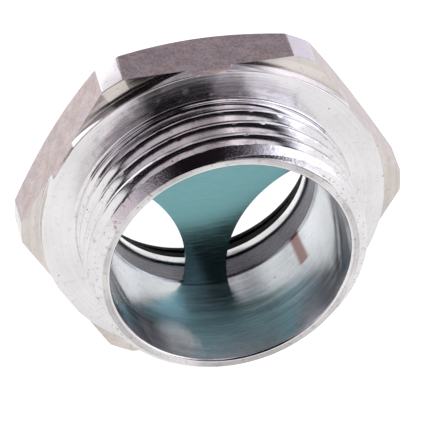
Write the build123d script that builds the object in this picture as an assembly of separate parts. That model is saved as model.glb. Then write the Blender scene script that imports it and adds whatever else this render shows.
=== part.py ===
from build123d import *
import os

# Oil sight glass for the wall of an oil tank or gearbox, seen and built as its maker would build it.
# Four pieces: a turned hexagon body with a pipe thread, a flat gasket, a clear glass disc and a
# three-armed reflector plate. The frame is the one it has when screwed into an upright tank wall:
# the thread axis is Y, the threaded end points to -Y into the oil, the glass faces +Y and +Z is up.
# The origin lies on the thread axis in the plane of the sealing face. All sizes are millimetres.

# Thread: a parallel one-inch pipe thread, drawn at its crest diameter.
thread_diameter = 33.249
thread_length = 10.0
thread_end_chamfer = 1.27
thread_root_chamfer = 0.4

# Sealing collar behind the thread, a little wider than the hexagon's flats.
collar_diameter = 41.3
collar_height = 1.2
collar_edge = 0.15

# Hexagon, turned round at its corners and chamfered at the front.
across_flats = 41.0
corner_diameter = 45.74
hexagon_height = 6.3
front_face_inset = 0.82
front_chamfer_angle = 30.0

# Glass disc with ground edges. The bore and the rim take their width from it.
glass_diameter = 29.0
glass_thickness = 3.0
glass_edge = 0.25

# Gasket between the ledge and the glass, its hole a little wider than the ledge's.
gasket_thickness = 1.2
gasket_setback = 0.25

# Bore: a ledge under the edge of the glass, the sight chamber, the reflector's seat, and a
# funnel from there to the mouth. Each step outwards is measured from the one before it.
ledge_width = 1.9
ledge_thickness = 1.1
ledge_step = 0.3
reflector_shoulder = 0.25
reflector_seat_depth = 13.35
mouth_rim_width = 0.95
mouth_edge = 0.3

# Reflector: a thin disc with three round bites, so that three arms are left.
reflector_thickness = 0.5
bite_diameter = 29.5
hub_diameter = 10.3
reflector_turn = -3.0

# Rim round the glass, rolled inwards over its edge.
rim_wall = 1.15
rim_corner_radius = 1.1
rim_foot_chamfer = 0.4
lip_thickness = 0.8
lip_overlap = 0.7
lip_edge = 0.3

# Clearances between the pieces.
glass_side_clearance = 0.15
gasket_side_clearance = 0.05
reflector_side_clearance = 0.05

# Diameters worked out from the sizes above.
mouth_diameter = thread_diameter - 2 * (thread_end_chamfer + mouth_rim_width)
front_face_diameter = across_flats - 2 * front_face_inset
ledge_diameter = glass_diameter - 2 * ledge_width
chamber_diameter = ledge_diameter + 2 * ledge_step
reflector_seat_diameter = chamber_diameter + 2 * reflector_shoulder
reflector_diameter = reflector_seat_diameter - 2 * reflector_side_clearance
glass_pocket_diameter = glass_diameter + 2 * glass_side_clearance
gasket_inner_diameter = ledge_diameter + 2 * gasket_setback
gasket_outer_diameter = glass_pocket_diameter - 2 * gasket_side_clearance
lip_opening_diameter = glass_diameter - 2 * lip_overlap
rim_diameter = glass_pocket_diameter + 2 * rim_wall

# Places along the axis, worked out from the sizes above.
mouth_y = -thread_length
hexagon_rear_y = collar_height
hexagon_front_y = hexagon_rear_y + hexagon_height
reflector_back_y = mouth_y + reflector_seat_depth
gasket_rear_y = hexagon_front_y
glass_rear_y = gasket_rear_y + gasket_thickness
glass_front_y = glass_rear_y + glass_thickness
rim_front_y = glass_front_y + lip_thickness


def corner_at(sketch, radius, y):
    """The corner of a half section that lies nearest to a radius and a place along the axis."""
    return sketch.vertices().sort_by_distance((radius, y, 0))[0]


def hexagon_body():
    """One turned piece: thread, collar, hexagon, rim, and the stepped hole right through."""
    thread_radius = thread_diameter / 2
    chamfer_slope = Vector(1, 0).rotate(Axis.Z, front_chamfer_angle)
    chamfer_rise = (corner_diameter - front_face_diameter) / 2 * chamfer_slope.Y / chamfer_slope.X
    outline = [
        (mouth_diameter / 2, mouth_y),
        (thread_radius - thread_end_chamfer, mouth_y),
        (thread_radius, mouth_y + thread_end_chamfer),
        (thread_radius, 0),
        (collar_diameter / 2, 0),
        (collar_diameter / 2, hexagon_rear_y),
        (corner_diameter / 2, hexagon_rear_y),
        (corner_diameter / 2, hexagon_front_y - chamfer_rise),
        (front_face_diameter / 2, hexagon_front_y),
        (rim_diameter / 2, hexagon_front_y),
        (rim_diameter / 2, rim_front_y),
        (lip_opening_diameter / 2, rim_front_y),
        (lip_opening_diameter / 2, glass_front_y),
        (glass_pocket_diameter / 2, glass_front_y),
        (glass_pocket_diameter / 2, gasket_rear_y),
        (ledge_diameter / 2, gasket_rear_y),
        (ledge_diameter / 2, gasket_rear_y - ledge_thickness),
        (chamber_diameter / 2, gasket_rear_y - ledge_thickness),
        (chamber_diameter / 2, reflector_back_y),
        (reflector_seat_diameter / 2, reflector_back_y),
        (reflector_seat_diameter / 2, reflector_back_y - reflector_thickness),
    ]
    with BuildPart() as body:
        with BuildSketch() as section:
            with BuildLine():
                Polyline(*outline, close=True)
            make_face()
            fillet(corner_at(section, rim_diameter / 2, rim_front_y), rim_corner_radius)
            chamfer(corner_at(section, rim_diameter / 2, hexagon_front_y), rim_foot_chamfer)
            chamfer(corner_at(section, lip_opening_diameter / 2, rim_front_y), lip_edge)
            chamfer(corner_at(section, thread_radius, 0), thread_root_chamfer)
            chamfer(corner_at(section, collar_diameter / 2, 0), collar_edge)
            chamfer(corner_at(section, mouth_diameter / 2, mouth_y), mouth_edge)
        revolve(axis=Axis.Y)
        with BuildSketch(Plane.XZ.offset(-rim_front_y)):
            RegularPolygon(across_flats / 2, 6, major_radius=False)
        extrude(amount=rim_front_y - mouth_y, mode=Mode.INTERSECT)
    return body.part


def glass_gasket():
    """Flat rubber ring that seals the glass against the ledge."""
    with BuildPart() as gasket:
        with BuildSketch(Plane.XZ.offset(-gasket_rear_y)):
            Circle(gasket_outer_diameter / 2)
            Circle(gasket_inner_diameter / 2, mode=Mode.SUBTRACT)
        extrude(amount=-gasket_thickness)
    return gasket.part


def glass_disc():
    """Clear disc between the gasket and the rolled lip."""
    with BuildPart() as disc:
        with BuildSketch(Plane.XZ.offset(-glass_rear_y)):
            Circle(glass_diameter / 2)
        extrude(amount=-glass_thickness)
        chamfer(disc.edges().filter_by(GeomType.CIRCLE), glass_edge)
    return disc.part


def reflector_plate():
    """Thin disc pressed into its seat, with three round bites that leave three arms."""
    bite_distance = (hub_diameter + bite_diameter) / 2
    with BuildPart() as plate:
        with BuildSketch(Plane.XZ.offset(-reflector_back_y)):
            Circle(reflector_diameter / 2)
            with PolarLocations(bite_distance, 3, start_angle=90 + reflector_turn):
                Circle(bite_diameter / 2, mode=Mode.SUBTRACT)
        extrude(amount=reflector_thickness)
    return plate.part


pieces = {
    "hexagon_body": hexagon_body(),
    "glass_gasket": glass_gasket(),
    "glass_disc": glass_disc(),
    "reflector_plate": reflector_plate(),
}

os.makedirs("parts", exist_ok=True)
for name, piece in pieces.items():
    export_step(piece, f"parts/{name}.step")
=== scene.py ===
# %% [markdown]
# Oil sight glass, dressed for a picture.
#
# The object is a short hexagon plug that screws into the wall of an oil tank. A glass disc sits in
# its far end, and a three-armed plate in its bore makes the oil level easy to see. The exact model
# comes first, as a frame that nothing here moves. This script adds what a machinist leaves on the
# metal: the turns of the thread, soft edges, tool marks and small marks of wear.

# %% Load the exact model
import bpy
import bmesh
import math
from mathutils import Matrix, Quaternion, Vector


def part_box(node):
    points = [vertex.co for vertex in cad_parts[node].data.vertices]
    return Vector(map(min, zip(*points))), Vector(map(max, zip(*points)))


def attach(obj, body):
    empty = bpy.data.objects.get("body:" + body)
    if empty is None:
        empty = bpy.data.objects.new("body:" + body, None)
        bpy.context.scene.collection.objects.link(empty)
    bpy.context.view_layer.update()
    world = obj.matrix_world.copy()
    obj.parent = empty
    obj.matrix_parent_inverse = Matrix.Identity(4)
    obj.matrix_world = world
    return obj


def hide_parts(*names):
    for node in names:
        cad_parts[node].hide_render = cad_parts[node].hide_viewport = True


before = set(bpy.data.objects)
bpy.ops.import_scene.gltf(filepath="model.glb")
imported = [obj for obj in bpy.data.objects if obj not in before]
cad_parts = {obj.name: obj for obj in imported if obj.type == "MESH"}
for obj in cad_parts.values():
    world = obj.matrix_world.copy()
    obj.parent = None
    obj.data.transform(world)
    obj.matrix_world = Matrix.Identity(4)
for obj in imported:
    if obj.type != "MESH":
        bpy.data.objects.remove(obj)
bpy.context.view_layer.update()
print("nodes:", sorted(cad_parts))

# %% [markdown]
# All sizes are written in millimetres, as on a drawing, and turned into metres where a mesh is
# made. Y is the axis of the thread. The threaded end points to -Y and the glass faces +Y. What the
# exact model already says is read from it, so the two can't drift apart.

# %% Places along the axis and main radii
MM = 0.001


def node_span(name):
    """Lowest y, highest y and radius of a round node, in millimetres."""
    low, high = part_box(name)
    return low.y / MM, high.y / MM, (high.x - low.x) / 2 / MM


mouth_y, rim_front_y, corner_radius = node_span("hexagon_body")
gasket_rear_y, gasket_front_y, gasket_radius = node_span("glass_gasket")
glass_rear_y, glass_front_y, glass_radius = node_span("glass_disc")
plate_rear_y, plate_front_y, plate_radius = node_span("reflector_plate")
flat_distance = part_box("hexagon_body")[1].z / MM
floor_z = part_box("hexagon_body")[0].z
print("mouth at", round(mouth_y, 2), "rim front at", round(rim_front_y, 2))

# %% [markdown]
# The body is one piece, turned from hexagon bar. Its half section is a closed chain of points, each
# with the radius of its corner. Tools never leave a perfectly sharp edge, and those small radii are
# what catches the light, so each corner gets one. The section is spun round the axis, the thread is
# then pressed into the spun surface, and six plane cuts give the hexagon back.

# %% The body's half section
thread_radius = 16.6245
end_chamfer = 1.27
mouth_radius = 14.4045
seat_radius = 13.15
chamber_radius = 12.9
ledge_radius = 12.6
ledge_rear_y = 6.4
pocket_radius = 14.65
lip_radius = 13.8
rim_radius = 15.8
collar_radius = 20.65
collar_front_y = 1.2
front_face_radius = 19.68
front_chamfer_rise = (corner_radius - front_face_radius) * math.tan(math.radians(30))

section_corners = [
    (mouth_radius, mouth_y, 0.28),
    (thread_radius - end_chamfer, mouth_y, 0.05),
    (thread_radius, mouth_y + end_chamfer, 0),
    (thread_radius, 0, 0.4),
    (collar_radius, 0, 0.15),
    (collar_radius, collar_front_y, 0.06),
    (corner_radius, collar_front_y, 0.1),
    (corner_radius, gasket_rear_y - front_chamfer_rise, 0.15),
    (front_face_radius, gasket_rear_y, 0.1),
    (rim_radius, gasket_rear_y, 0.5),
    (rim_radius, rim_front_y, 1.1),
    (lip_radius, rim_front_y, 0.3),
    (lip_radius, glass_front_y, 0.05),
    (pocket_radius, glass_front_y, 0),
    (pocket_radius, gasket_rear_y, 0),
    (ledge_radius, gasket_rear_y, 0.08),
    (ledge_radius, ledge_rear_y, 0.08),
    (chamber_radius, ledge_rear_y, 0),
    (chamber_radius, plate_front_y, 0.05),
    (seat_radius, plate_front_y, 0),
    (seat_radius, plate_rear_y, 0),
]
print("corners of the section:", len(section_corners))

# %% [markdown]
# The thread is a parallel pipe thread: 11 turns to the inch, flanks at 55 degrees, rounded at the
# root and with its crests turned flat. One could sweep a tooth along a helix, but its two ends would need mending. Here each
# point of the spun cylinder moves inwards by a depth that depends on its turn and its height. The
# end chamfer then cuts the first turn cleanly, and the last turn fades out before the collar.

# %% Depth of the thread
thread_pitch = 25.4 / 11
thread_depth = 0.640327 * thread_pitch
thread_round = 0.137329 * thread_pitch
flank_angle = math.radians(27.5)
crest_flat = 0.33
crest_bevel = 0.082
crest_y_at_top = -6.7
fade_from_y = -1.4
fade_to_y = -0.45
rows_per_turn = 28


def tooth_depth(across):
    """Depth below the crest, at a distance across from the middle of the crest, in millimetres."""
    round_reach = thread_round * math.cos(flank_angle)
    to_root = thread_pitch / 2 - across
    if across < round_reach:
        return thread_round - math.sqrt(thread_round ** 2 - across ** 2)
    if to_root < round_reach:
        return thread_depth - thread_round + math.sqrt(thread_round ** 2 - to_root ** 2)
    start = thread_round * (1 - math.sin(flank_angle))
    slope = (thread_depth - 2 * start) / (thread_pitch / 2 - 2 * round_reach)
    return start + (across - round_reach) * slope


bevel_limit = crest_bevel * math.tan(math.radians(25))
crest_cut = tooth_depth(crest_flat / 2 + crest_bevel) - bevel_limit


def smooth_step(value, low, high):
    """0 below low, 1 above high, and smooth between them."""
    share = min(max((value - low) / (high - low), 0), 1)
    return share * share * (3 - 2 * share)


def crest_place(turn):
    """Where one crest lies along the axis at a turn (1 is a full circle), in millimetres."""
    return crest_y_at_top - thread_pitch * (turn - 0.25)


def nearest_row(turn, y):
    """The nearest place along the axis that lies a whole number of rows from the crest."""
    row = thread_pitch / rows_per_turn
    return crest_place(turn) + round((y - crest_place(turn)) / row) * row


def threaded_radius(turn, y):
    """Radius of the cut thread at a turn and a place along the axis."""
    offset = (y - crest_place(turn)) / thread_pitch
    across = abs(offset - round(offset)) * thread_pitch
    bevel_depth = (across - crest_flat / 2) * math.tan(math.radians(25))
    flank_depth = tooth_depth(across) - crest_cut
    fade = 1 - smooth_step(y, fade_from_y, fade_to_y)
    return thread_radius - max(flank_depth, min(bevel_depth, bevel_limit), 0) * fade


print("thread depth in mm:", round(thread_depth - crest_cut, 3))

# %% [markdown]
# Now the mesh. Vertex bevel rounds the corners of the flat chain, edge subdivision gives the thread
# enough rows, and one full spin closes it. The six cuts use bisect_plane, which clears what lies
# outside each flat. Each cut leaves one open loop, and a plain face fills it.

# %% Spin, thread and cut the body
spin_steps = 330
corner_segments = 4
finishes = ["faced", "drawn", "chamber", "threaded", "chamfer", "bored", "corner", "mouth", "pocket"]


def section_chain(mesh):
    """The closed chain of the half section, with its corners rounded."""
    points = [mesh.verts.new((radius * MM, y * MM, 0)) for radius, y, _ in section_corners]
    for index, point in enumerate(points):
        mesh.edges.new((point, points[index - 1]))
    for point, (_, _, corner) in zip(points, section_corners):
        if corner > 0:
            bmesh.ops.bevel(
                mesh,
                geom=[point],
                offset=corner * MM,
                offset_type="OFFSET",
                segments=corner_segments,
                profile=0.5,
                affect="VERTICES",
                material=-1,
            )


def add_thread_rows(mesh):
    """Splits the two long edges that the thread is cut into."""
    row = thread_pitch / rows_per_turn * MM
    for edge in list(mesh.edges):
        middle = sum((v.co for v in edge.verts), Vector()) / 2
        outside = middle.x > (thread_radius - end_chamfer) * MM and middle.y < fade_to_y * MM
        if outside and middle.x < thread_radius * MM * 1.001:
            cuts = int(edge.calc_length() / row)
            if cuts:
                bmesh.ops.subdivide_edges(mesh, edges=[edge], cuts=cuts)


def cut_thread(mesh):
    """Moves the points outside the mouth inwards to the thread's radius."""
    for point in mesh.verts:
        radius = math.hypot(point.co.x, point.co.z) / MM
        y = point.co.y / MM
        if radius < thread_radius - end_chamfer - 0.1 or radius > thread_radius + 0.01 or y > fade_to_y:
            continue
        turn = math.atan2(point.co.z, point.co.x) / math.tau
        if mouth_y + end_chamfer + 0.06 < y < fade_from_y:
            y = nearest_row(turn, y)
            point.co.y = y * MM
        target = threaded_radius(turn, y)
        if y > mouth_y + 0.01 and target < radius:
            point.co.x *= target / radius
            point.co.z *= target / radius


def cut_flats(mesh):
    """Cuts the six flats and fills each with one face of the drawn finish."""
    for side in range(6):
        angle = math.radians(30 + 60 * side)
        normal = Vector((math.cos(angle), 0, math.sin(angle)))
        cut = bmesh.ops.bisect_plane(
            mesh,
            geom=mesh.verts[:] + mesh.edges[:] + mesh.faces[:],
            dist=1e-7,
            plane_co=normal * flat_distance * MM,
            plane_no=normal,
            clear_outer=True,
        )
        rim = [g for g in cut["geom_cut"] if isinstance(g, bmesh.types.BMEdge)]
        filled = bmesh.ops.edgeloop_fill(mesh, edges=rim, mat_nr=finishes.index("drawn"))
        print("flat", side, "edges", len(rim), "faces", len(filled["faces"]))


def turned_finish(face):
    """The finish of a turned face, from where it lies in the section."""
    middle = face.calc_center_median() / MM
    radius = math.hypot(middle.x, middle.z)
    if radius > collar_radius + 0.1 and middle.y < collar_front_y + 0.05:
        return "corner"
    if middle.y < mouth_y + 0.3 and mouth_radius + 0.27 < radius < thread_radius - end_chamfer + 0.02:
        return "mouth"
    if middle.y < mouth_y + end_chamfer and radius > thread_radius - end_chamfer - 0.1:
        return "chamfer"
    if radius > thread_radius - thread_depth - 0.1 and middle.y < 0:
        return "threaded"
    # The chamber wall gets the dark grey painted shade here.
    if plate_front_y < middle.y < ledge_rear_y and radius < seat_radius:
        return "chamber"
    # The lip and pocket walls round the glass get the near-black painted shadow here.
    if gasket_rear_y - 0.02 < middle.y < rim_front_y - 0.3 and radius < pocket_radius + 0.1:
        return "pocket"
    if middle.y < plate_front_y and radius < mouth_radius:
        return "bored"
    return "faced"


def turned_body():
    """The whole body as one closed mesh."""
    mesh = bmesh.new()
    section_chain(mesh)
    add_thread_rows(mesh)
    bmesh.ops.spin(
        mesh,
        geom=mesh.verts[:] + mesh.edges[:],
        cent=(0, 0, 0),
        axis=(0, 1, 0),
        angle=math.tau,
        steps=spin_steps,
        use_merge=True,
    )
    bmesh.ops.remove_doubles(mesh, verts=mesh.verts[:], dist=1e-7)
    cut_thread(mesh)
    cut_flats(mesh)
    bmesh.ops.recalc_face_normals(mesh, faces=mesh.faces[:])
    for face in mesh.faces:
        face.smooth = face.material_index != finishes.index("drawn")
        if face.smooth:
            face.material_index = finishes.index(turned_finish(face))
    data = bpy.data.meshes.new("turned_body")
    mesh.to_mesh(data)
    mesh.free()
    data.set_sharp_from_angle(angle=math.radians(35))
    piece = bpy.data.objects.new("turned_body", data)
    bpy.context.scene.collection.objects.link(piece)
    return piece


body = turned_body()
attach(body, "root")
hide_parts("hexagon_body")
print("body triangles:", sum(len(face.vertices) - 2 for face in body.data.polygons))

# %% [markdown]
# Finishes. A lathe leaves fine grooves that run round the axis, so the pattern must depend on the
# radius and on y much more than on the turn. The group below does that: it reads the object's own
# coordinates, works out the radius, and stretches a noise along the turn.

# %% Shared group for tool marks


def new_group(name, inputs, outputs):
    """A shader node group with named number inputs and outputs."""
    group = bpy.data.node_groups.new(name, "ShaderNodeTree")
    for label, value in inputs:
        socket = group.interface.new_socket(label, in_out="INPUT", socket_type="NodeSocketFloat")
        socket.default_value = value
    for label in outputs:
        group.interface.new_socket(label, in_out="OUTPUT", socket_type="NodeSocketFloat")
    return group


def add_math(tree, operation, *values, clamp=False):
    """One Math node, whose inputs are numbers or sockets."""
    node = tree.nodes.new("ShaderNodeMath")
    node.operation = operation
    node.use_clamp = clamp
    for socket, value in zip(node.inputs, values):
        if isinstance(value, bpy.types.NodeSocket):
            tree.links.new(value, socket)
        else:
            socket.default_value = value
    return node.outputs[0]


def add_noise(tree, vector, scale, detail=2.0, roughness=0.5):
    """The value of a Noise node at a vector."""
    node = tree.nodes.new("ShaderNodeTexNoise")
    node.inputs["Scale"].default_value = scale
    node.inputs["Detail"].default_value = detail
    node.inputs["Roughness"].default_value = roughness
    tree.links.new(vector, node.inputs["Vector"])
    return node.outputs["Fac"]


def turned_marks_group():
    """Tool marks round the Y axis, and slow changes of shade over the surface."""
    group = new_group("turned_marks", [("Grooves per mm", 6.0), ("Round stretch", 1.5)], ["Marks", "Cloud"])
    source = group.nodes.new("NodeGroupInput")
    result = group.nodes.new("NodeGroupOutput")
    place = group.nodes.new("ShaderNodeTexCoord")
    split = group.nodes.new("ShaderNodeSeparateXYZ")
    group.links.new(place.outputs["Object"], split.inputs[0])
    across = add_math(group, "POWER", split.outputs["X"], 2.0)
    upright = add_math(group, "POWER", split.outputs["Z"], 2.0)
    radius = add_math(group, "SQRT", add_math(group, "ADD", across, upright))
    per_metre = add_math(group, "MULTIPLY", source.outputs["Grooves per mm"], 1000.0)
    lathe = group.nodes.new("ShaderNodeCombineXYZ")
    direction = group.nodes.new("ShaderNodeVectorMath")
    direction.operation = "NORMALIZE"
    flat = group.nodes.new("ShaderNodeCombineXYZ")
    group.links.new(split.outputs["X"], flat.inputs["X"])
    group.links.new(split.outputs["Z"], flat.inputs["Z"])
    group.links.new(flat.outputs[0], direction.inputs[0])
    turn = group.nodes.new("ShaderNodeSeparateXYZ")
    group.links.new(direction.outputs[0], turn.inputs[0])
    depth_in = add_math(group, "ADD", radius, add_math(group, "MULTIPLY", split.outputs["Y"], 0.83))
    group.links.new(add_math(group, "MULTIPLY", depth_in, per_metre), lathe.inputs["X"])
    stretch = source.outputs["Round stretch"]
    group.links.new(add_math(group, "MULTIPLY", turn.outputs["X"], stretch), lathe.inputs["Y"])
    group.links.new(add_math(group, "MULTIPLY", turn.outputs["Z"], stretch), lathe.inputs["Z"])
    marks = add_noise(group, lathe.outputs[0], 1.0, detail=3.0, roughness=0.65)
    cloud = add_noise(group, place.outputs["Object"], 140.0, detail=3.0)
    group.links.new(marks, result.inputs["Marks"])
    group.links.new(cloud, result.inputs["Cloud"])
    return group


def pits_group():
    """Small pits, a few to the square centimetre: 1 in a pit and 0 elsewhere."""
    group = new_group("small_pits", [("Cells per mm", 0.5), ("Pit size", 0.045)], ["Pits"])
    source = group.nodes.new("NodeGroupInput")
    result = group.nodes.new("NodeGroupOutput")
    place = group.nodes.new("ShaderNodeTexCoord")
    cells = group.nodes.new("ShaderNodeTexVoronoi")
    group.links.new(place.outputs["Object"], cells.inputs["Vector"])
    per_metre = add_math(group, "MULTIPLY", source.outputs["Cells per mm"], 1000.0)
    group.links.new(per_metre, cells.inputs["Scale"])
    ragged = add_noise(group, place.outputs["Object"], 9000.0, detail=1.0)
    reach = add_math(group, "MULTIPLY", source.outputs["Pit size"], add_math(group, "ADD", ragged, 0.5))
    group.links.new(add_math(group, "LESS_THAN", cells.outputs["Distance"], reach), result.inputs["Pits"])
    return group


turned_marks = turned_marks_group()
small_pits = pits_group()
print("groups:", turned_marks.name, small_pits.name)

# %% [markdown]
# The turned metal is bright and almost smooth. Its roughness and height follow the tool marks, and
# its shade changes a little from place to place, as it does on handled metal. In the chamber and in
# the pocket round the glass, a dark base colour is painted shade.

# %% Turned metal


def new_material(name):
    """A material with a node tree, its Principled shader and its output."""
    material = bpy.data.materials.new(name)
    material.use_nodes = True
    shader = material.node_tree.nodes["Principled BSDF"]
    return material, material.node_tree, shader


def color_ramp(tree, factor, stops):
    """A colour ramp over a factor. Each stop is a place and a linear colour."""
    node = tree.nodes.new("ShaderNodeValToRGB")
    elements = node.color_ramp.elements
    while len(elements) < len(stops):
        elements.new(0.5)
    for element, (place, color) in zip(elements, stops):
        element.position = place
        element.color = (*color, 1)
    tree.links.new(factor, node.inputs["Fac"])
    return node.outputs["Color"]


def mix_colors(tree, factor, first, second):
    """The first colour where the factor is 0 and the second where it is 1."""
    node = tree.nodes.new("ShaderNodeMix")
    node.data_type = "RGBA"
    tree.links.new(factor, node.inputs["Factor"])
    sockets = [socket for socket in node.inputs if socket.type == "RGBA" and socket.enabled]
    for socket, color in zip(sockets, (first, second)):
        if isinstance(color, bpy.types.NodeSocket):
            tree.links.new(color, socket)
        else:
            socket.default_value = (*color, 1)
    return next(socket for socket in node.outputs if socket.enabled)


def map_range(tree, value, low, high):
    """The value, which runs from 0.3 to 0.7 in most noises, spread from low to high."""
    node = tree.nodes.new("ShaderNodeMapRange")
    node.inputs["From Min"].default_value = 0.3
    node.inputs["From Max"].default_value = 0.7
    node.inputs["To Min"].default_value = low
    node.inputs["To Max"].default_value = high
    tree.links.new(value, node.inputs["Value"])
    return node.outputs[0]


def soft_band(tree, value, low, high, edge):
    """1 where an angle lies between low and high, in degrees, with soft edges, and 0 elsewhere."""
    steps = []
    for middle in (low, high):
        node = tree.nodes.new("ShaderNodeMapRange")
        node.interpolation_type = "SMOOTHSTEP"
        node.inputs["From Min"].default_value = math.radians(middle - edge)
        node.inputs["From Max"].default_value = math.radians(middle + edge)
        tree.links.new(value, node.inputs["Value"])
        steps.append(node.outputs[0])
    return add_math(tree, "SUBTRACT", *steps)


def add_bump(tree, shader, height, distance, strength=1.0):
    """A height in metres that bends the shader's normal."""
    bump = tree.nodes.new("ShaderNodeBump")
    bump.inputs["Distance"].default_value = distance
    bump.inputs["Strength"].default_value = strength
    tree.links.new(height, bump.inputs["Height"])
    tree.links.new(bump.outputs[0], shader.inputs["Normal"])


def run_across_grooves(tree, shader, spread):
    """Spreads reflections across the grooves, which run round the Y axis."""
    tangent = tree.nodes.new("ShaderNodeTangent")
    tangent.direction_type = "RADIAL"
    tangent.axis = "Y"
    tree.links.new(tangent.outputs[0], shader.inputs["Tangent"])
    shader.inputs["Anisotropic"].default_value = spread
    shader.inputs["Anisotropic Rotation"].default_value = 0.25


def turned_metal(name, shade, roughness, grooves, depth, spread, stretch=1.2, streaks=0.0, grime=0.3):
    """Turned aluminium. Shade and roughness each run from one value to another."""
    material, tree, shader = new_material(name)
    marks = tree.nodes.new("ShaderNodeGroup")
    marks.node_tree = turned_marks
    marks.inputs["Grooves per mm"].default_value = grooves
    marks.inputs["Round stretch"].default_value = stretch
    pits = tree.nodes.new("ShaderNodeGroup")
    pits.node_tree = small_pits
    tone = add_math(tree, "MULTIPLY_ADD", marks.outputs["Marks"], 0.6, -0.3)
    tone = add_math(tree, "ADD", marks.outputs["Cloud"], tone)
    clean = color_ramp(tree, tone, list(zip((0.3, 0.7), shade)))
    place = tree.nodes.new("ShaderNodeTexCoord").outputs["Object"]
    specks = add_math(tree, "SUBTRACT", add_noise(tree, place, 1300.0, detail=4.0, roughness=0.75), 0.56)
    specks = add_math(tree, "MULTIPLY", specks, 7.0, clamp=True)
    grimy = mix_colors(tree, add_math(tree, "MULTIPLY", specks, grime), clean, (0.26, 0.22, 0.21))
    tree.links.new(mix_colors(tree, pits.outputs["Pits"], grimy, (0.05, 0.04, 0.04)), shader.inputs["Base Color"])
    shader.inputs["Metallic"].default_value = 1.0
    tree.links.new(map_range(tree, marks.outputs["Marks"], *roughness), shader.inputs["Roughness"])
    height = marks.outputs["Marks"]
    if streaks > 0:
        along = tree.nodes.new("ShaderNodeGroup")
        along.node_tree = turned_marks
        along.inputs["Grooves per mm"].default_value = 0.12
        along.inputs["Round stretch"].default_value = 22.0
        height = add_math(tree, "ADD", height, add_math(tree, "MULTIPLY", along.outputs["Marks"], streaks))
    add_bump(tree, shader, height, depth)
    run_across_grooves(tree, shader, spread)
    return material


bright = (0.74, 0.728, 0.73), (0.86, 0.848, 0.845)
pale = (0.5, 0.48, 0.475), (0.86, 0.84, 0.82)
bored = (0.6, 0.615, 0.64), (0.8, 0.81, 0.84)
# The chamber's dark grey base colour is painted shade for the recess between plate and gasket; its higher
# roughness is the dull finish.
painted_shade_grey = (0.13, 0.125, 0.14), (0.2, 0.195, 0.215)
# The pocket's near-black base colour is painted shadow on the lip and pocket walls round the glass.
dark = (0.012, 0.012, 0.013), (0.03, 0.03, 0.032)
beige = (0.58, 0.53, 0.485), (0.76, 0.715, 0.67)
turned_metals = {
    "faced": turned_metal("faced_aluminium", bright, (0.07, 0.15), 4.0, 0.000005, 0.85),
    "threaded": turned_metal("threaded_aluminium", bright, (0.08, 0.14), 5.0, 0.000003, 0.6, grime=0.5),
    "chamfer": turned_metal("chamfer_aluminium", bright, (0.08, 0.14), 4.0, 0.000026, 0.5, 45.0, grime=0.9),
    "bored": turned_metal("bored_aluminium", bored, (0.12, 0.21), 2.5, 0.000009, 1.0, streaks=0.8),
    "chamber": turned_metal("dull_chamber_painted_shade", painted_shade_grey, (0.22, 0.35), 4.0, 0.000008, 0.7),
    "corner": turned_metal("corner_aluminium", beige, (0.1, 0.18), 2.5, 0.000006, 0.6),
    "mouth": turned_metal("mouth_aluminium", pale, (0.35, 0.5), 5.0, 0.000014, 0.5, grime=0.9),
    "pocket": turned_metal("pocket_painted_shadow", dark, (0.4, 0.5), 4.0, 0.000008, 0.7),
}
print("turned metals:", list(turned_metals))

# %% [markdown]
# Old oil has left one brown stain low on the right of the bore, where the reflector's arm ends. It
# is a narrow band of turn, from the seat a few millimetres towards the mouth.

# %% Stain in the bore


def add_stain(material):
    """Browns the base colour in a narrow band along the bore."""
    tree = material.node_tree
    shader = tree.nodes["Principled BSDF"]
    clean = shader.inputs["Base Color"].links[0].from_socket
    place = tree.nodes.new("ShaderNodeSeparateXYZ")
    tree.links.new(tree.nodes.new("ShaderNodeTexCoord").outputs["Object"], place.inputs[0])
    turn = add_math(tree, "ARCTAN2", place.outputs["Z"], place.outputs["X"])
    inside = add_math(tree, "GREATER_THAN", place.outputs["Y"], -1.2 * MM)
    stained = add_math(tree, "MULTIPLY", soft_band(tree, turn, -41.5, -35, 1.4), inside)
    tree.links.new(mix_colors(tree, stained, clean, (0.33, 0.215, 0.205)), shader.inputs["Base Color"])


add_stain(turned_metals["bored"])
print("stained:", turned_metals["bored"].name)

# %% [markdown]
# The six flats are not turned. They are the skin of the drawn bar: duller, a little pink and brown,
# with a fine grain and soft patches. A second material makes them.

# %% Drawn skin of the bar


def drawn_metal():
    """Drawn skin with mottled brown and lilac patches and a fine dark speckle."""
    material, tree, shader = new_material("drawn_bar_skin")
    place = tree.nodes.new("ShaderNodeTexCoord").outputs["Object"]
    speckle = add_noise(tree, place, 3200.0, detail=3.0, roughness=0.7)
    patches = add_noise(tree, place, 700.0, detail=4.0, roughness=0.75)
    hue = add_noise(tree, place, 420.0, detail=3.0, roughness=0.7)
    tone = add_math(tree, "ADD", patches, add_math(tree, "MULTIPLY_ADD", speckle, 0.8, -0.4))
    lilac = color_ramp(tree, tone, [(0.35, (0.50, 0.43, 0.44)), (0.65, (0.66, 0.575, 0.58))])
    brown = color_ramp(tree, tone, [(0.35, (0.50, 0.41, 0.385)), (0.65, (0.67, 0.565, 0.53))])
    clear = add_math(tree, "SUBTRACT", hue, 0.4, clamp=True)
    base = mix_colors(tree, add_math(tree, "MULTIPLY", clear, 5.0, clamp=True), lilac, brown)
    spots = add_math(tree, "MULTIPLY", add_math(tree, "SUBTRACT", speckle, 0.6, clamp=True), 5.0, clamp=True)
    tree.links.new(mix_colors(tree, spots, base, (0.3, 0.22, 0.2)), shader.inputs["Base Color"])
    shader.inputs["Metallic"].default_value = 1.0
    tree.links.new(map_range(tree, speckle, 0.22, 0.34), shader.inputs["Roughness"])
    add_bump(tree, shader, speckle, 0.000012)
    return material


for finish in finishes:
    body.data.materials.append(drawn_metal() if finish == "drawn" else turned_metals[finish])
print("body materials:", [m.name for m in body.data.materials])

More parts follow.
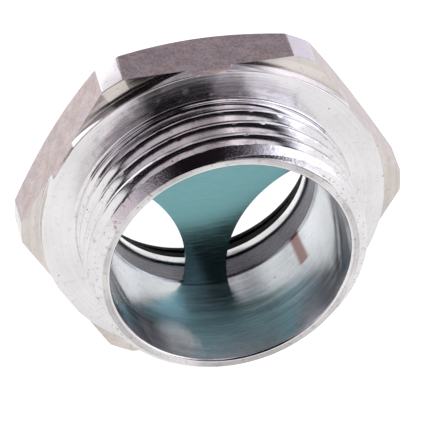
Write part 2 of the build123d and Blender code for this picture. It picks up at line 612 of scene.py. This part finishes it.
# %% [markdown]
# The reflector is bright sheet metal with a blue-green finish and a fine grain from rolling. The
# gasket is matt black rubber, and the glass is clear. These three keep the exact model's own shape
# and only get a material.

# %% Reflector, gasket and glass


def dress(node_name, material):
    """Gives a node of the exact model its material."""
    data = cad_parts[node_name].data
    data.materials.clear()
    data.materials.append(material)
    print(node_name, "gets", material.name)


def reflector_metal():
    """Blue-green sheet with a fine grain across it."""
    material, tree, shader = new_material("blue_green_sheet")
    place = tree.nodes.new("ShaderNodeTexCoord").outputs["Object"]
    stretch = tree.nodes.new("ShaderNodeMapping")
    stretch.inputs["Scale"].default_value = (0.06, 1.0, 1.0)
    tree.links.new(place, stretch.inputs["Vector"])
    grain = add_noise(tree, stretch.outputs[0], 6000.0, detail=3.0, roughness=0.7)
    shade = [(0.3, (0.165, 0.36, 0.375)), (0.7, (0.22, 0.43, 0.44))]
    pits = tree.nodes.new("ShaderNodeGroup")
    pits.node_tree = small_pits
    pits.inputs["Cells per mm"].default_value = 0.3
    pits.inputs["Pit size"].default_value = 0.04
    sheet = mix_colors(tree, pits.outputs["Pits"], color_ramp(tree, grain, shade), (0.04, 0.06, 0.06))
    tree.links.new(sheet, shader.inputs["Base Color"])
    shader.inputs["Metallic"].default_value = 1.0
    tree.links.new(map_range(tree, grain, 0.14, 0.26), shader.inputs["Roughness"])
    add_bump(tree, shader, grain, 0.0000015)
    return material


def rubber():
    """Matt black rubber."""
    material, tree, shader = new_material("black_rubber")
    place = tree.nodes.new("ShaderNodeTexCoord").outputs["Object"]
    grain = add_noise(tree, place, 1800.0, detail=2.0)
    shader.inputs["Specular IOR Level"].default_value = 0.2
    shade = [(0.3, (0.003, 0.003, 0.0035)), (0.7, (0.007, 0.0065, 0.007))]
    tree.links.new(color_ramp(tree, grain, shade), shader.inputs["Base Color"])
    tree.links.new(map_range(tree, grain, 0.5, 0.65), shader.inputs["Roughness"])
    add_bump(tree, shader, grain, 0.00001)
    return material


def clear_glass():
    """Clear glass with faint waves in its surface."""
    material, tree, shader = new_material("clear_glass")
    place = tree.nodes.new("ShaderNodeTexCoord").outputs["Object"]
    waves = add_noise(tree, place, 120.0, detail=1.0)
    shader.inputs["Base Color"].default_value = (0.97, 0.99, 0.98, 1)
    shader.inputs["Transmission Weight"].default_value = 1.0
    shader.inputs["IOR"].default_value = 1.5
    tree.links.new(map_range(tree, waves, 0.0, 0.02), shader.inputs["Roughness"])
    return material


dress("reflector_plate", reflector_metal())
dress("glass_gasket", rubber())
dress("glass_disc", clear_glass())

# %% [markdown]
# The studio: a pale floor under the object and soft light all round, darker in front and above, as
# bright metal needs something dark to mirror. For the camera, and through the glass, floor and
# surroundings are plain white.

# %% Floor


def pale_floor():
    """A wide pale floor, white where the camera sees it."""
    mesh = bmesh.new()
    bmesh.ops.create_grid(mesh, x_segments=1, y_segments=1, size=3.0)
    bmesh.ops.translate(mesh, verts=mesh.verts[:], vec=(0, 0, floor_z))
    data = bpy.data.meshes.new("floor")
    mesh.to_mesh(data)
    mesh.free()
    floor = bpy.data.objects.new("floor", data)
    bpy.context.scene.collection.objects.link(floor)
    material, tree, shader = new_material("pale_floor")
    shader.inputs["Base Color"].default_value = (0.5, 0.5, 0.5, 1)
    shader.inputs["Roughness"].default_value = 0.9
    path = tree.nodes.new("ShaderNodeLightPath")
    seen = add_math(tree, "MAXIMUM", path.outputs["Is Camera Ray"], path.outputs["Is Glossy Ray"])
    seen = add_math(tree, "MAXIMUM", seen, path.outputs["Is Transmission Ray"])
    shader.inputs["Emission Color"].default_value = (1, 1, 1, 1)
    plainly_seen = add_math(tree, "MAXIMUM", path.outputs["Is Camera Ray"], path.outputs["Is Transmission Ray"])
    mirrored = add_math(tree, "MULTIPLY", seen, 0.75)
    strength = add_math(tree, "MAXIMUM", mirrored, add_math(tree, "MULTIPLY", plainly_seen, 0.95))
    tree.links.new(strength, shader.inputs["Emission Strength"])
    material.cycles.emission_sampling = "NONE"
    floor.data.materials.append(material)
    return floor


floor = pale_floor()
print("floor at z in mm:", round(floor_z / MM, 2))

# %% [markdown]
# The light comes from the world alone. Bright metal shows what stands round it, so the world is
# built like a small studio: a dark room with soft panels of light. Each panel spans some degrees
# round the object and some degrees above the horizon. 0 degrees is behind the object, at +Y, and 90
# degrees is on its right, at +X. Nothing stands in front, where the camera is.

# %% Light all round
room_color = (0.008, 0.006, 0.008)
light_panels = [
    ("front right", 101, 142, -9, 39, 4, (1.6, 1.6, 1.8)),
    ("front right high", 104, 140, 39, 54, 5, (0.48, 0.43, 0.53)),
    ("front right soft", 147, 166, 25, 42, 3, (0.36, 0.32, 0.38)),
    ("front left soft", -148, -126, -2, 32, 3, (0.45, 0.41, 0.46)),
    ("right high", 58, 104, 38, 56, 4, (0.9, 0.87, 0.95)),
    ("back right", 20, 62, -9, 24, 3, (0.85, 0.81, 0.93)),
    ("back right mid", 26, 45, 24, 38, 4, (0.7, 0.68, 0.72)),
    ("back high", -32, 62, 24, 54, 5, (0.28, 0.26, 0.3)),
    ("left slot", -17, -9, 28, 46, 2, (0.35, 0.33, 0.38)),
    ("right slot", 19, 24, 26, 42, 2, (0.4, 0.38, 0.42)),
    ("back", -14, 20, -9, 24, 5, (1.3, 1.3, 1.4)),
    ("back left", -55, -14, -9, 24, 4, (1.5, 1.45, 1.5)),
    ("back left high", -50, -26, 24, 38, 3, (0.95, 0.91, 0.95)),
    ("left high", -104, -50, 24, 54, 5, (0.7, 0.65, 0.72)),
    ("front left", -126, -104, -9, 24, 5, (0.75, 0.65, 0.73)),
    ("overhead", -86, 104, 54, 72, 5, (0.67, 0.6, 0.65)),
    ("high right", 40, 150, 62, 80, 5, (0.9, 0.85, 0.9)),
    ("ceiling", -200, 200, 80, 100, 4, (0.7, 0.68, 0.7)),
]


def add_color(tree, color, factor, panel_color):
    """A colour plus a panel's colour times a factor."""
    node = tree.nodes.new("ShaderNodeVectorMath")
    node.operation = "MULTIPLY_ADD"
    tree.links.new(factor, node.inputs[0])
    node.inputs[1].default_value = panel_color
    if isinstance(color, bpy.types.NodeSocket):
        tree.links.new(color, node.inputs[2])
    else:
        node.inputs[2].default_value = color
    return node.outputs[0]


def studio_world():
    """World light with soft panels, and plain white for the camera and through the glass."""
    world = bpy.data.worlds.new("studio")
    bpy.context.scene.world = world
    world.use_nodes = True
    tree = world.node_tree
    direction = tree.nodes.new("ShaderNodeSeparateXYZ")
    tree.links.new(tree.nodes.new("ShaderNodeTexCoord").outputs["Generated"], direction.inputs[0])
    height = add_math(tree, "ARCSINE", direction.outputs["Z"])
    turn = add_math(tree, "ARCTAN2", direction.outputs["X"], direction.outputs["Y"])
    color = room_color
    for _, left, right, low, high, edge, panel_color in light_panels:
        sideways = soft_band(tree, turn, left, right, edge)
        upright = soft_band(tree, height, low, high, edge)
        color = add_color(tree, color, add_math(tree, "MULTIPLY", sideways, upright), panel_color)
    path = tree.nodes.new("ShaderNodeLightPath")
    below = soft_band(tree, height, -100, 38, 9)
    through_glass = add_math(tree, "MULTIPLY", path.outputs["Is Transmission Ray"], below)
    seen = add_math(tree, "MAXIMUM", path.outputs["Is Camera Ray"], through_glass)
    shown = tree.nodes.new("ShaderNodeMix")
    shown.data_type = "VECTOR"
    tree.links.new(seen, shown.inputs["Factor"])
    first, second = [socket for socket in shown.inputs if socket.type == "VECTOR" and socket.enabled][-2:]
    tree.links.new(color, first)
    second.default_value = (1, 1, 1)
    result = next(socket for socket in shown.outputs if socket.enabled)
    tree.links.new(result, tree.nodes["Background"].inputs["Color"])


studio_world()
bpy.context.scene.view_settings.view_transform = "Standard"
print("light panels:", [name for name, *_ in light_panels])

# %% [markdown]
# The camera stands far off with a long lens, so the round edges stay nearly true ellipses. It looks
# down into the threaded end, a little from the left.

# %% Camera
camera_azimuth = math.radians(11.17)
camera_elevation = math.radians(38.67)
camera_roll = math.radians(-1.06)
camera_distance = 0.70844
camera_aim = Vector((0.00042, 0, -0.00097))

view_direction = Vector((
    math.sin(camera_azimuth) * math.cos(camera_elevation),
    math.cos(camera_azimuth) * math.cos(camera_elevation),
    -math.sin(camera_elevation),
))
camera_data = bpy.data.cameras.new("camera")
camera_data.sensor_fit = "HORIZONTAL"
camera_data.sensor_width = 36.0
camera_data.lens = 496.55
camera_data.clip_start = 0.01
camera_data.clip_end = 20.0
camera = bpy.data.objects.new("camera", camera_data)
bpy.context.scene.collection.objects.link(camera)
camera.location = camera_aim - view_direction * camera_distance
camera.rotation_mode = "QUATERNION"
camera.rotation_quaternion = view_direction.to_track_quat("-Z", "Y") @ Quaternion((0, 0, 1), camera_roll)
bpy.context.scene.camera = camera
print("camera at", [round(c, 4) for c in camera.location])
